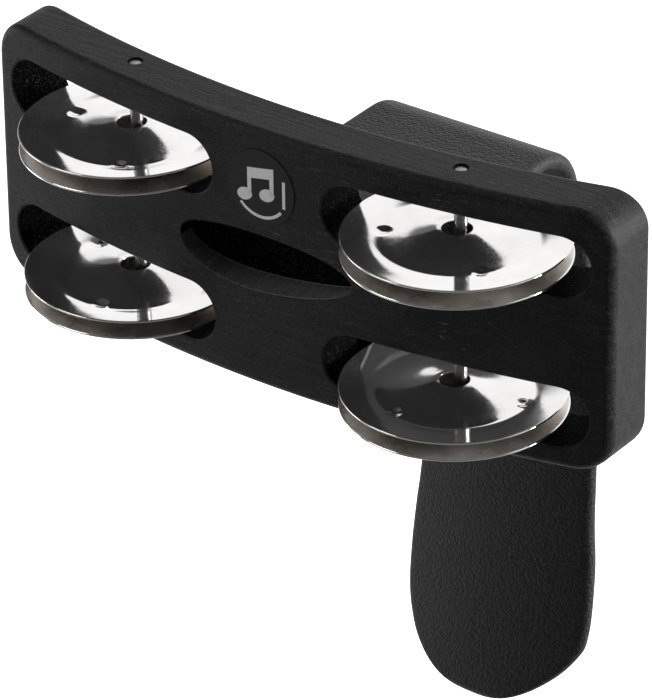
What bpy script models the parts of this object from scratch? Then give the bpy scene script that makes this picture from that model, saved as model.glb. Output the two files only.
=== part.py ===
"""Heel tambourine: a curved wooden jingle frame carried on a padded steel heel clip.

The wooden frame is a board bent to an arc, convex to the front (-Y).  Two upright
pins pass through two pairs of slots and carry eight dished steel jingles, back to
back in pairs.  A steel strip is screwed to the middle of the back of the frame,
runs straight back, bends down and ends in a tongue that goes inside the shoe
behind the heel.  A soft sleeve covers the strip from the frame to the tip.

Working coordinates: X along the frame, Y to the back, Z up, with zero at the
middle of the board.  Everything is then moved so that the origin of the part is
the middle of the flat underside of the clip, which rests on the collar of a shoe.
"""
import bpy
import bmesh
import math
from mathutils import Vector, Matrix

MM = 0.001

# ---- frame board ---------------------------------------------------------
FRAME_R = 310.0          # radius of the board's middle surface
FRAME_T = 14.6           # board thickness
FRAME_H = 65.6           # board height
FRAME_HALF_L = 85.3      # half length, between the two flat ends
FRAME_CORNER = 9.0       # corner radius in the front view
FRAME_EDGE = 2.0         # rounding of the long edges
FRAME_COLS = 26          # facets along the arc

# ---- slots ---------------------------------------------------------------
SLOT_L = 64.8
SLOT_H = 14.7
SLOT_X = 47.8
SLOT_Z = (18.1, -19.7)
SLOT_SEG = 12

# ---- finger groove in the front ------------------------------------------
GROOVE_X = -0.9
GROOVE_HALF_L = 24.1
GROOVE_UP = 6.0
GROOVE_DOWN = 7.9
GROOVE_DEPTH = 8.0
GROOVE_LEAN = 0.10        # the lower lip hangs lower on the left

# ---- pins ----------------------------------------------------------------
PIN_X = 45.0
PIN_Y = 4.4
PIN_R = 1.5
PIN_HOLE_R = 1.85
PIN_TOP = 32.4
PIN_BOTTOM = -29.6
PIN_HOLE_BOTTOM = -30.0

# ---- jingles -------------------------------------------------------------
DISC_R = 26.0
DISC_HOLE_R = 3.45
DISC_T = 0.5
DISC_GAP = 4.35          # between the two rims of a pair
DISC_SEG = 30
HUB_RISE = 0.75          # how far the hole stands above the rim plane
TROUGH = 1.6             # how far the trough lies below the rim plane
# profile of a disc: (radius, height above the rim plane)
DISC_PROFILE = (
    (DISC_HOLE_R, HUB_RISE),
    (4.6, HUB_RISE - 0.15),
    (7.4, -0.28),
    (10.6, -1.08),
    (14.0, -TROUGH + 0.08),
    (17.5, -TROUGH),
    (19.9, -1.06),
    (DISC_R, 0.0),
)
# centre x, y, rim height of the upper disc, tilt along x, tilt along y
DISC_PAIRS = {
    "upper_left": (-45.6, 3.0, 16.75, 0.030, 0.018, 0.20, 0.0),
    "upper_right": (45.8, 1.7, 17.45, 0.002, 0.002, -0.65, 1.05),
    "lower_right": (44.6, 2.4, -21.35, 0.002, 0.008, -0.20, 0.50),
    "lower_left": (-45.8, 3.5, -20.6, 0.009, 0.008, -0.20, 0.0),
}

# ---- heel clip -----------------------------------------------------------
CORE_T = 1.5             # steel strip
PAD_T = 3.9              # outer thickness of the sleeve
CAVITY_T = 2.1           # hollow inside the sleeve
CLIP_TOP = 1.2           # outer top of the flat bridge
BEND_R_OUT = 15.0        # outer radius of the rear bend
BEND_Y = 67.5            # centre of the rear bend
LEAN_DEG = 15.0          # the leg leans back where it leaves the bend
BELLY_Y = 88.3           # middle of the leg where it stands furthest back
BELLY_Z = -72.0
TIP_SLOPE = 0.16         # forward slope of the tip
FLANGE_Y = 7.95          # front face of the steel flange behind the board
FLANGE_BOTTOM = -29.0
FLANGE_HALF_W = 13.5
FLANGE_BEND = 3.6        # middle radius of the front bend
NECK_START = 14.0        # y where the sleeve starts
NECK_END = 40.0          # y where the strip has its full width
BRIDGE_HALF_W = 25.0
# side edges of the tongue towards its tip: (z, left x, right x)
TIP_OUTLINE = (
    (-97.0, -25.0, 25.0),
    (-110.0, -25.7, 25.3),
    (-120.0, -26.7, 26.1),
    (-132.0, -27.3, 26.3),
    (-139.0, -27.2, 26.0),
    (-143.5, -26.7, 25.2),
    (-147.0, -25.9, 23.2),
    (-150.0, -24.8, 21.0),
    (-153.0, -23.4, 18.2),
    (-156.0, -21.2, 14.8),
    (-158.8, -18.2, 11.0),
    (-161.0, -14.4, 7.0),
    (-162.4, -10.2, 2.6),
    (-163.0, -6.4, -1.4),
)
TONGUE_RL = 100.0        # radius of the tongue's cross section
PAD_EDGE = 1.8

# ---- screws --------------------------------------------------------------
SCREW_X = 7.6
SCREW_Z = (-12.2, -24.0)
SCREW_SHAFT_R = 1.6
SCREW_HOLE_R = 1.95
SCREW_HEAD_R = 3.4
SCREW_HEAD_H = 2.0
SCREW_TIP_Y = -2.0

# ---- badge ---------------------------------------------------------------
BADGE_X = -1.2
BADGE_Z = 18.8
BADGE_R = 9.3
BADGE_T = 0.25
BADGE_GAP = 0.12

# ---- origin of the part: middle of the flat underside of the bridge --------
ORIGIN = Vector((0.0, 42.0, CLIP_TOP - PAD_T))


# ------------------------------------------------------------------ helpers
for _o in list(bpy.data.objects):
    bpy.data.objects.remove(_o, do_unlink=True)


def material(name, rgb, rough, metal):
    mat = bpy.data.materials.new(name)
    mat.use_nodes = True
    bsdf = mat.node_tree.nodes["Principled BSDF"]
    bsdf.inputs["Base Color"].default_value = (rgb[0], rgb[1], rgb[2], 1.0)
    bsdf.inputs["Roughness"].default_value = rough
    bsdf.inputs["Metallic"].default_value = metal
    mat.diffuse_color = (rgb[0], rgb[1], rgb[2], 1.0)
    return mat


def local(p):
    """Working millimetres to part metres."""
    return Vector((p[0] - ORIGIN.x, p[1] - ORIGIN.y, p[2] - ORIGIN.z)) * MM


def new_object(name, verts, faces, mat=None, at=None, smooth=None):
    """Mesh object; at = origin of the object in working millimetres."""
    origin = Vector(at) if at is not None else ORIGIN
    me = bpy.data.meshes.new(name)
    me.from_pydata([tuple((Vector(v) - origin) * MM) for v in verts], [], faces)
    me.update()
    bm = bmesh.new()
    bm.from_mesh(me)
    bmesh.ops.remove_doubles(bm, verts=bm.verts, dist=1e-7)
    bmesh.ops.recalc_face_normals(bm, faces=bm.faces)
    bm.to_mesh(me)
    bm.free()
    ob = bpy.data.objects.new(name, me)
    bpy.context.scene.collection.objects.link(ob)
    ob.location = local(origin)
    if mat is not None:
        me.materials.append(mat)
    if smooth is not None:
        for p in me.polygons:
            p.use_smooth = True
        me.set_sharp_from_angle(angle=math.radians(smooth))
    return ob


def hide_cutter(ob):
    ob.hide_render = True
    ob.display_type = "WIRE"
    return ob


def cut(target, cutter):
    hide_cutter(cutter)
    mod = target.modifiers.new("cut_" + cutter.name, "BOOLEAN")
    mod.operation = "DIFFERENCE"
    mod.solver = "EXACT"
    mod.object = cutter


def tube_faces(rings, n, first, cap_start=True, cap_end=True, tri=False):
    """Faces joining rings of n vertices, numbered from first; tri splits every quad alike."""
    faces = []
    for i in range(rings - 1):
        a = first + i * n
        b = a + n
        for j in range(n):
            k = (j + 1) % n
            if tri:
                faces.append((a + j, a + k, b + k))
                faces.append((a + j, b + k, b + j))
            else:
                faces.append((a + j, a + k, b + k, b + j))
    if cap_start:
        faces.append(tuple(first + j for j in reversed(range(n))))
    if cap_end:
        base = first + (rings - 1) * n
        faces.append(tuple(base + j for j in range(n)))
    return faces


def arc_y(x, n):
    """y on the board's arc, n in front of its middle surface."""
    return FRAME_R - math.sqrt((FRAME_R + n) ** 2 - x * x)


def cylinder(name, p0, p1, r, seg, mat=None, at=None, smooth=None):
    """Closed cylinder from p0 to p1, working millimetres."""
    p0 = Vector(p0)
    p1 = Vector(p1)
    w = (p1 - p0).normalized()
    u = w.orthogonal().normalized()
    v = w.cross(u)
    verts = []
    for p in (p0, p1):
        for j in range(seg):
            a = 2 * math.pi * j / seg
            verts.append(p + (u * math.cos(a) + v * math.sin(a)) * r)
    return new_object(name, verts, tube_faces(2, seg, 0), mat, at, smooth)


def smooth_step(t):
    t = min(1.0, max(0.0, t))
    return t * t * (3 - 2 * t)


def revolve(name, centre, profile, seg, mat, axis=None, smooth=30, hub=(0.0, 0.0)):
    """Closed ring of revolution; profile is a closed loop of (radius, height).

    The stamped middle (hole and bowl) may sit off the centre of the rim by hub.
    """
    n = len(profile)
    verts = []
    w = Vector(axis).normalized() if axis is not None else Vector((0, 0, 1))
    u = (Vector((1, 0, 0)) - w * w.x).normalized()
    v = w.cross(u)
    c = Vector(centre)
    for j in range(seg):
        a = 2 * math.pi * j / seg
        d = u * math.cos(a) + v * math.sin(a)
        for r, h in profile:
            k = 1.0 - smooth_step((r - 16.0) / 8.0)
            verts.append(c + d * r + u * (hub[0] * k) + v * (hub[1] * k) + w * h)
    faces = []
    for j in range(seg):
        a = j * n
        b = ((j + 1) % seg) * n
        for i in range(n):
            k = (i + 1) % n
            faces.append((a + i, b + i, b + k, a + k))
    return new_object(name, verts, faces, mat, centre, smooth)


# ---------------------------------------------------------------- materials
wood = material("stained_wood", (0.018, 0.017, 0.017), 0.42, 0.0)
steel = material("jingle_steel", (0.80, 0.80, 0.79), 0.12, 1.0)
pin_steel = material("pin_steel", (0.30, 0.30, 0.30), 0.35, 1.0)
pad = material("sleeve_black", (0.016, 0.016, 0.017), 0.70, 0.0)
painted = material("black_steel", (0.03, 0.03, 0.03), 0.45, 0.6)
print_black = material("badge_black", (0.012, 0.012, 0.013), 0.35, 0.0)


# -------------------------------------------------------------------- frame
def frame_height(x):
    """Half height of the board at x: rounded corners at both ends."""
    e = abs(x) - (FRAME_HALF_L - FRAME_CORNER)
    if e <= 0:
        return FRAME_H / 2
    e = min(e, FRAME_CORNER)
    return FRAME_H / 2 - FRAME_CORNER + math.sqrt(max(0.0, FRAME_CORNER ** 2 - e * e))


def frame_half_t(x):
    """Half thickness of the board at x: rounded towards both end faces."""
    d = FRAME_HALF_L - abs(x)
    if d >= FRAME_EDGE:
        return FRAME_T / 2
    d = max(0.0, d)
    return FRAME_T / 2 - FRAME_EDGE + math.sqrt(FRAME_EDGE ** 2 - (FRAME_EDGE - d) ** 2)


def frame_columns():
    straight = FRAME_HALF_L - FRAME_CORNER
    xs = [-straight + 2 * straight * i / FRAME_COLS for i in range(FRAME_COLS + 1)]
    corner = [straight + FRAME_CORNER * math.sin(math.radians(a)) for a in (18, 36, 51, 64, 78, 90)]
    return [-x for x in reversed(corner)] + xs + corner


def make_frame():
    xs = frame_columns()
    verts = []
    for x in xs:
        h = frame_height(x)
        t = frame_half_t(x)
        for sn, sz, start in ((1, 1, 0), (-1, 1, 90), (-1, -1, 180), (1, -1, 270)):
            for k in range(3):
                a = math.radians(start + 45 * k)
                n = sn * (t - FRAME_EDGE) + FRAME_EDGE * math.cos(a)
                z = sz * (h - FRAME_EDGE) + FRAME_EDGE * math.sin(a)
                verts.append((x, arc_y(x, n), z))
    ob = new_object("frame_body", verts, tube_faces(len(xs), 12, 0), wood, (0, 0, 0))

    for i, (sx, sz) in enumerate([(s, z) for z in SLOT_Z for s in (-SLOT_X, SLOT_X)]):
        loop = []
        r = SLOT_H / 2
        straight = SLOT_L / 2 - r
        for k in range(SLOT_SEG + 1):
            a = -math.pi / 2 + math.pi * k / SLOT_SEG
            loop.append((sx + straight + r * math.cos(a), sz + r * math.sin(a)))
        for k in range(SLOT_SEG + 1):
            a = math.pi / 2 + math.pi * k / SLOT_SEG
            loop.append((sx - straight + r * math.cos(a), sz + r * math.sin(a)))
        # the slot runs towards the centre of the board's arc
        verts = []
        for rho in (FRAME_R + FRAME_T / 2 + 6.0, FRAME_R - FRAME_T / 2 - 6.0):
            for x, z in loop:
                a = math.asin(x / (FRAME_R + FRAME_T / 2))
                verts.append((rho * math.sin(a), FRAME_R - rho * math.cos(a), z))
        cut(ob, new_object("cut_slot_%d" % i, verts, tube_faces(2, len(loop), 0)))

    # lens shaped finger groove with a curved back wall
    n = 13
    verts = []
    for i in range(n):
        t = -1 + 2 * i / (n - 1)
        u = 0.995 * math.sin(t * math.pi / 2)
        x = GROOVE_X + GROOVE_HALF_L * u
        root = math.sqrt(1 - u * u)
        up = 0.2 + GROOVE_UP * root
        lo = 0.2 - (GROOVE_DOWN - GROOVE_LEAN * x) * root
        yf = arc_y(x, FRAME_T / 2)
        yb = yf + GROOVE_DEPTH - 3.6 * (x / 24.0) ** 2
        verts += [(x, yf - 4.0, lo), (x, yb, lo), (x, yb, up), (x, yf - 4.0, up)]
    cut(ob, new_object("cut_groove", verts, tube_faces(n, 4, 0)))

    for s, side in ((-1, "left"), (1, "right")):
        cut(ob, cylinder("cut_pin_" + side, (s * PIN_X, PIN_Y, PIN_HOLE_BOTTOM),
                         (s * PIN_X, PIN_Y, 40.0), PIN_HOLE_R, 16))
    for i, (s, z) in enumerate([(s, z) for z in SCREW_Z for s in (-1, 1)]):
        cut(ob, cylinder("cut_screw_%d" % i, (s * SCREW_X, SCREW_TIP_Y - 0.4, z),
                         (s * SCREW_X, 14.0, z), SCREW_HOLE_R, 10))
    return ob


frame = make_frame()

# --------------------------------------------------------------------- pins
for s, side in ((-1, "left"), (1, "right")):
    cylinder("pin_" + side, (s * PIN_X, PIN_Y, PIN_BOTTOM), (s * PIN_X, PIN_Y, PIN_TOP),
             PIN_R, 16, pin_steel, (s * PIN_X, PIN_Y, 0.0), 30)


# ------------------------------------------------------------------ jingles
def disc_loop(sign):
    """Closed section of one disc, sign +1 dished up at the hub, -1 mirrored."""
    top = [(r, sign * h + DISC_T / 2) for r, h in DISC_PROFILE]
    bottom = [(r, sign * h - DISC_T / 2) for r, h in DISC_PROFILE]
    return top + list(reversed(bottom))


for key, (cx, cy, cz, tx, ty, hx, hy) in DISC_PAIRS.items():
    axis = Vector((-tx, -ty, 1.0)).normalized()
    revolve("jingle_%s_top" % key, (cx, cy, cz), disc_loop(1), DISC_SEG, steel, axis, 30, (hx, hy))
    low = Vector((cx, cy, cz)) - axis * DISC_GAP
    revolve("jingle_%s_bottom" % key, low, disc_loop(-1), DISC_SEG, steel, axis, 30, (hx, hy))


# ---------------------------------------------------------------- heel clip
BRIDGE_MID = CLIP_TOP - PAD_T / 2
BEND_MID = BEND_R_OUT - PAD_T / 2
BEND_Z = CLIP_TOP - BEND_R_OUT
LEG_TOP_Y = BEND_Y + BEND_MID * math.cos(math.radians(LEAN_DEG))
LEG_TOP_Z = BEND_Z + BEND_MID * math.sin(math.radians(LEAN_DEG))
SECTION_BLEND = 45.0     # length over which the leg takes on its curved section


def neck_half_width(y):
    t = smooth_step((y - NECK_START) / (NECK_END - NECK_START))
    return (FLANGE_HALF_W + 2.0) + (BRIDGE_HALF_W - FLANGE_HALF_W - 2.0) * t


def leg_edges(z):
    """Left and right edge of the leg at height z."""
    if z >= TIP_OUTLINE[0][0]:
        return -BRIDGE_HALF_W, BRIDGE_HALF_W
    for (z0, l0, r0), (z1, l1, r1) in zip(TIP_OUTLINE, TIP_OUTLINE[1:]):
        if z >= z1:
            t = (z0 - z) / (z0 - z1)
            return l0 + (l1 - l0) * t, r0 + (r1 - r0) * t
    return TIP_OUTLINE[-1][1], TIP_OUTLINE[-1][2]


def leg_y(z):
    """Middle of the leg: leans back to its belly, then forward to the tip."""
    if z >= BELLY_Z:
        span = LEG_TOP_Z - BELLY_Z
        t = (LEG_TOP_Z - z) / span
        slope = math.tan(math.radians(LEAN_DEG)) * span
        rise = BELLY_Y - LEG_TOP_Y
        # cubic from the end of the bend, level at the belly
        return LEG_TOP_Y + slope * t + (3 * rise - 2 * slope) * t * t + (slope - 2 * rise) * t ** 3
    return BELLY_Y - 0.5 * TIP_SLOPE / (BELLY_Z + 150.0) * (z - BELLY_Z) ** 2


def clip_path():
    """Middle line of the covered strip: y, z, normal y, normal z, section curve, middle x, half width."""
    out = []
    for y in (NECK_START, 19.0, 24.0, 29.0, 34.0, NECK_END, 52.0):
        out.append((y, BRIDGE_MID, 0.0, 1.0, 0.0, 0.0, neck_half_width(y)))
    steps = 8
    end = math.radians(90.0 - LEAN_DEG)
    for i in range(steps + 1):
        a = end * i / steps
        y = BEND_Y + BEND_MID * math.sin(a)
        z = BEND_Z + BEND_MID * math.cos(a)
        out.append((y, z, math.sin(a), math.cos(a), 0.0, 0.0, BRIDGE_HALF_W))
    for z in (-16.0, -22.0, -29.0, -37.0, -46.0, -58.0, -72.0, -86.0) + tuple(t[0] for t in TIP_OUTLINE):
        c = smooth_step((LEG_TOP_Z - z) / SECTION_BLEND)
        slope = (leg_y(z + 0.5) - leg_y(z - 0.5))
        ln = math.hypot(1.0, slope)
        left, right = leg_edges(z)
        out.append((leg_y(z), z, 1.0 / ln, -slope / ln, c, (left + right) / 2, (right - left) / 2))
    return out


def strip_point(st, w, off, shrink):
    """Point on the strip: w in -1..1 across, off along the normal."""
    y, z, ny, nz, c, xc, hw = st
    hw = max(0.6, hw - shrink)
    x = xc + w * hw
    ang = c * x / TONGUE_RL
    # curved cross section: the side edges turn to +Y
    dy = c * x * x / (2 * TONGUE_RL)
    return (x - off * math.sin(ang) * ny, y + dy + off * ny * math.cos(ang), z + off * nz)


def strip_loop(st, thick, shrink, n_w, edge):
    """Closed loop around the strip section, with edge rounded by narrowing."""
    pts = []
    h = thick / 2
    hw = max(0.6, st[6] - shrink)
    inset = min(0.9, edge / hw)
    row = [-(1 - inset) + 2 * (1 - inset) * i / (n_w - 1) for i in range(n_w)]
    for w in row:
        pts.append(strip_point(st, w, h, shrink))
    if edge > 0:
        pts.append(strip_point(st, 1.0 - inset * 0.29, h * 0.70, shrink))
        pts.append(strip_point(st, 1.0, 0.0, shrink))
        pts.append(strip_point(st, 1.0 - inset * 0.29, -h * 0.70, shrink))
    for w in reversed(row):
        pts.append(strip_point(st, w, -h, shrink))
    if edge > 0:
        pts.append(strip_point(st, -(1.0 - inset * 0.29), -h * 0.70, shrink))
        pts.append(strip_point(st, -1.0, 0.0, shrink))
        pts.append(strip_point(st, -(1.0 - inset * 0.29), h * 0.70, shrink))
    return pts


N_W = 9


def make_sleeve():
    path = clip_path()
    verts = []
    outer = 0
    for st in path:
        verts += strip_loop(st, PAD_T, 0.0, N_W, PAD_EDGE)
    n = 2 * N_W + 6
    faces = tube_faces(len(path), n, outer, cap_start=False, cap_end=True, tri=True)
    # hollow for the steel, open at the front end
    inner_path = path[:-2]
    inner = len(verts)
    for st in inner_path:
        verts += strip_loop(st, CAVITY_T, 2.2, N_W, 0.7)
    hole = tube_faces(len(inner_path), n, inner, cap_start=False, cap_end=True, tri=True)
    faces += [tuple(reversed(f)) for f in hole]
    for j in range(n):
        k = (j + 1) % n
        faces.append((outer + j, inner + j, inner + k, outer + k))
    return new_object("clip_sleeve", verts, faces, pad, None, 40)


def make_core():
    path = clip_path()[:-3]
    front = []
    # flange up the back of the board, then the front bend
    ymid = FLANGE_Y + CORE_T / 2
    r = FLANGE_BEND
    for z in (FLANGE_BOTTOM, -20.0, BRIDGE_MID - r - 2.0):
        front.append((ymid, z, -1.0, 0.0, 0.0, 0.0, FLANGE_HALF_W + 7.4))
    for i in range(5):
        a = math.pi / 2 * i / 4
        y = ymid + r - r * math.cos(a)
        z = BRIDGE_MID - r + r * math.sin(a)
        front.append((y, z, -math.cos(a), math.sin(a), 0.0, 0.0, FLANGE_HALF_W + 7.4 - 4.5 * i / 4))
    verts = []
    for st in front:
        verts += strip_loop(st, CORE_T, 2.9, N_W, 0.0)
    for st in path:
        verts += strip_loop(st, CORE_T, 2.9, N_W, 0.0)
    faces = tube_faces(len(front) + len(path), 2 * N_W, 0, tri=True)
    ob = new_object("clip_core", verts, faces, painted, None, 30)
    for i, (s, z) in enumerate([(s, z) for z in SCREW_Z for s in (-1, 1)]):
        cut(ob, cylinder("cut_flange_%d" % i, (s * SCREW_X, 2.0, z), (s * SCREW_X, 16.0, z),
                         SCREW_HOLE_R, 10))
    return ob


make_sleeve()
make_core()

# ------------------------------------------------------------ flange screws
back = FLANGE_Y + CORE_T
for number, (s, z) in enumerate([(s, z) for z in SCREW_Z for s in (-1, 1)], 1):
    prof = [(0.0, SCREW_TIP_Y), (SCREW_SHAFT_R * 0.55, SCREW_TIP_Y + 0.6), (SCREW_SHAFT_R, SCREW_TIP_Y + 2.6),
            (SCREW_SHAFT_R, back + 0.25), (SCREW_HEAD_R, back + 0.25), (SCREW_HEAD_R, back + 1.1),
            (SCREW_HEAD_R * 0.72, back + SCREW_HEAD_H), (0.0, back + SCREW_HEAD_H)]
    seg = 12
    sv = [(s * SCREW_X, prof[0][1], z)]
    sf = []
    for rr, yy in prof[1:-1]:
        for j in range(seg):
            a = 2 * math.pi * j / seg
            sv.append((s * SCREW_X + rr * math.cos(a), yy, z + rr * math.sin(a)))
    sv.append((s * SCREW_X, prof[-1][1], z))
    rings = len(prof) - 2
    for j in range(seg):
        k = (j + 1) % seg
        sf.append((0, 1 + j, 1 + k))
        last = 1 + (rings - 1) * seg
        sf.append((last + j, last + seg, last + k))
    for i in range(rings - 1):
        a0 = 1 + i * seg
        for j in range(seg):
            k = (j + 1) % seg
            sf.append((a0 + j, a0 + seg + j, a0 + seg + k, a0 + k))
    new_object("flange_screw_%d" % number, sv, sf, painted, (s * SCREW_X, back, z), 30)

# -------------------------------------------------------------------- badge
seg = 28
verts = []
n0 = FRAME_T / 2 + BADGE_GAP
for n in (n0, n0 + BADGE_T):
    for j in range(seg):
        a = 2 * math.pi * j / seg
        x = BADGE_X + BADGE_R * math.cos(a)
        verts.append((x, arc_y(x, n), BADGE_Z + BADGE_R * math.sin(a)))
# columns of quads keep both faces on the arc
faces = []
half = seg // 2
for lay, flip in ((0, False), (seg, True)):
    for i in range(half):
        a, b = i, i + 1
        c, d = (seg - i - 1) % seg, (seg - i) % seg
        quad = [lay + a, lay + b, lay + c, lay + d]
        quad = [q for i2, q in enumerate(quad) if q not in quad[:i2]]
        if flip:
            quad.reverse()
        if len(quad) >= 3:
            faces.append(tuple(quad))
for j in range(seg):
    k = (j + 1) % seg
    faces.append((j, k, seg + k, seg + j))
new_object("badge_disc", verts, faces, print_black, None, 30)
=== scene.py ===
"""Looks of the heel tambourine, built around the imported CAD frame."""

import math

import bmesh
import bpy
import numpy as np
from mathutils import Matrix, Vector


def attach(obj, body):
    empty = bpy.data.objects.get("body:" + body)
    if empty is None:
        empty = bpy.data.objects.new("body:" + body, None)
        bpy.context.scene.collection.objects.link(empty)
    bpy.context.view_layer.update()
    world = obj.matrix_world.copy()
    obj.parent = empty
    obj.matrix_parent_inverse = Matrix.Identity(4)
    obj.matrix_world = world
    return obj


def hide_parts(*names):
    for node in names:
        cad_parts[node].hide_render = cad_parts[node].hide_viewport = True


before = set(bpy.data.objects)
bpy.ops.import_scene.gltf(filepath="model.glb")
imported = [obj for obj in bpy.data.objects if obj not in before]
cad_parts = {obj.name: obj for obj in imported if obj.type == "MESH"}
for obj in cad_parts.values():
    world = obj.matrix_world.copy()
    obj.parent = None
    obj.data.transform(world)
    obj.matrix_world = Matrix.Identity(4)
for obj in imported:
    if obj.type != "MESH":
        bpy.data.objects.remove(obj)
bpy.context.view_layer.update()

MM = 0.001
ORIGIN = Vector((0.0, 42.0, -2.7))      # working millimetres of the part's origin

# ------------------------------------------------------------ shape numbers
FRAME_R = 310.0
FRAME_T = 14.6
FRAME_H = 65.6
FRAME_HALF_L = 85.3
FRAME_CORNER = 9.0
FRAME_EDGE = 2.0
SLOT_L = 64.8
SLOT_H = 14.7
SLOT_X = 47.8
SLOT_Z = (18.1, -19.7)
SLOT_EASE = 0.8
GROOVE_X = -0.9
GROOVE_HALF_L = 24.1
GROOVE_UP = 5.5
GROOVE_DOWN = 7.9
GROOVE_DEPTH = 8.0
GROOVE_LEAN = 0.10
PIN_X = 45.0
PIN_Y = 4.4
PIN_R = 1.5
PIN_HOLE_R = 1.85
PIN_TOP = 32.4
PIN_BOTTOM = -29.6
PIN_HOLE_BOTTOM = -30.0
DISC_R = 26.0
DISC_HOLE_R = 3.45
DISC_T = 0.5
DISC_GAP = 4.35
DISC_PROFILE = (
    (3.45, 0.75),
    (4.6, 0.60),
    (7.4, -0.28),
    (10.6, -1.08),
    (14.0, -1.52),
    (17.2, -1.60),
    (18.3, -1.48),
    (19.8, -1.16),
    (22.5, -0.64),
    (26.0, 0.0),
)
DISC_PAIRS = {
    "upper_left": (-45.6, 3.0, 16.75, 0.030, 0.018, 0.20, 0.0, -62.0),
    "upper_right": (45.8, 1.7, 17.45, 0.002, 0.002, -0.65, 1.05, -37.0),
    "lower_right": (44.6, 2.4, -21.35, 0.002, 0.008, -0.20, 0.50, 12.0),
    "lower_left": (-45.8, 3.5, -20.6, 0.009, 0.008, -0.20, 0.0, -81.0),
}
CORE_T = 1.5
PAD_T = 3.9
CAVITY_T = 2.1
CLIP_TOP = 1.2
BEND_R_OUT = 15.0
BEND_Y = 67.5
LEAN_DEG = 15.0
BELLY_Y = 88.3
BELLY_Z = -72.0
TIP_SLOPE = 0.16
FLANGE_Y = 7.95
FLANGE_HALF_W = 13.5
NECK_START = 14.0
NECK_END = 40.0
BRIDGE_HALF_W = 25.0
TIP_OUTLINE = (
    (-97.0, -25.0, 25.0),
    (-110.0, -25.7, 25.3),
    (-120.0, -26.7, 26.1),
    (-132.0, -27.3, 26.3),
    (-139.0, -27.2, 26.0),
    (-143.5, -26.7, 25.2),
    (-147.0, -25.9, 23.2),
    (-150.0, -24.8, 21.0),
    (-153.0, -23.4, 18.2),
    (-156.0, -21.2, 14.8),
    (-158.8, -18.2, 11.0),
    (-161.0, -14.4, 7.0),
    (-162.4, -10.2, 2.6),
    (-163.0, -6.4, -1.4),
)
TONGUE_RL = 100.0
SCREW_X = 7.6
SCREW_Z = (-12.2, -24.0)
SCREW_SHAFT_R = 1.6
SCREW_HOLE_R = 1.95
SCREW_HEAD_R = 3.4
SCREW_HEAD_H = 2.0
SCREW_TIP_Y = -2.0
BADGE_X = -1.2
BADGE_Z = 18.8
BADGE_R = 9.3
BADGE_T = 0.25
BADGE_GAP = 0.12

HALF_T = FRAME_T / 2


# ------------------------------------------------------------------ helpers
def link(ob):
    bpy.context.scene.collection.objects.link(ob)
    return ob


def raw_object(name, verts, faces, scale=1.0, shift=None):
    me = bpy.data.meshes.new(name)
    s = shift or Vector((0, 0, 0))
    me.from_pydata([tuple((Vector(v) - s) * scale) for v in verts], [], faces)
    me.update()
    return link(bpy.data.objects.new(name, me))


def clean(ob, dist=1e-7):
    bm = bmesh.new()
    bm.from_mesh(ob.data)
    bmesh.ops.remove_doubles(bm, verts=bm.verts, dist=dist)
    bmesh.ops.recalc_face_normals(bm, faces=bm.faces)
    bm.to_mesh(ob.data)
    bm.free()
    ob.data.update()
    return ob


def part_object(name, verts, faces, mat, smooth=40.0):
    """Finished piece from working millimetres, mesh in part metres."""
    ob = clean(raw_object(name, verts, faces, MM, ORIGIN))
    if mat is not None:
        ob.data.materials.append(mat)
    shade(ob, smooth)
    return ob


def shade(ob, angle):
    ob.data.polygons.foreach_set("use_smooth", [True] * len(ob.data.polygons))
    ob.data.set_sharp_from_angle(angle=math.radians(angle))
    ob.data.update()


def applied(ob):
    """Replaces ob's mesh by its evaluated mesh and drops the modifiers."""
    dg = bpy.context.evaluated_depsgraph_get()
    dg.update()
    me = bpy.data.meshes.new_from_object(ob.evaluated_get(dg))
    ob.modifiers.clear()
    old = ob.data
    ob.data = me
    bpy.data.meshes.remove(old)
    return ob


def subtract(target, cutters):
    for c in cutters:
        mod = target.modifiers.new("cut", "BOOLEAN")
        mod.operation = "DIFFERENCE"
        mod.solver = "EXACT"
        mod.object = c
    applied(target)
    for c in cutters:
        me = c.data
        bpy.data.objects.remove(c, do_unlink=True)
        bpy.data.meshes.remove(me)


def tube_faces(rings, n, first, cap_start=True, cap_end=True, closed=False):
    faces = []
    last = rings if closed else rings - 1
    for i in range(last):
        a = first + i * n
        b = first + ((i + 1) % rings) * n
        for j in range(n):
            k = (j + 1) % n
            faces.append((a + j, a + k, b + k, b + j))
    if cap_start and not closed:
        faces.append(tuple(first + j for j in reversed(range(n))))
    if cap_end and not closed:
        base = first + (rings - 1) * n
        faces.append(tuple(base + j for j in range(n)))
    return faces


def smooth_step(t):
    t = min(1.0, max(0.0, t))
    return t * t * (3 - 2 * t)


def arc_y(x, n):
    return FRAME_R - math.sqrt((FRAME_R + n) ** 2 - x * x)


# ---------------------------------------------------------------- materials
def new_material(name):
    mat = bpy.data.materials.new(name)
    mat.use_nodes = True
    nt = mat.node_tree
    return mat, nt, nt.nodes["Principled BSDF"]


def node(nt, kind, **kw):
    n = nt.nodes.new(kind)
    for k, v in kw.items():
        setattr(n, k, v)
    return n


def coords(nt, scale, source="Object"):
    tc = node(nt, "ShaderNodeTexCoord")
    mp = node(nt, "ShaderNodeMapping")
    mp.inputs["Scale"].default_value = scale
    nt.links.new(tc.outputs[source], mp.inputs["Vector"])
    return mp.outputs["Vector"]


def noise(nt, vec, scale, detail=3.0, rough=0.55, dist=0.0):
    n = node(nt, "ShaderNodeTexNoise")
    n.inputs["Scale"].default_value = scale
    n.inputs["Detail"].default_value = detail
    n.inputs["Roughness"].default_value = rough
    n.inputs["Distortion"].default_value = dist
    nt.links.new(vec, n.inputs["Vector"])
    return n.outputs["Fac"]


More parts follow.
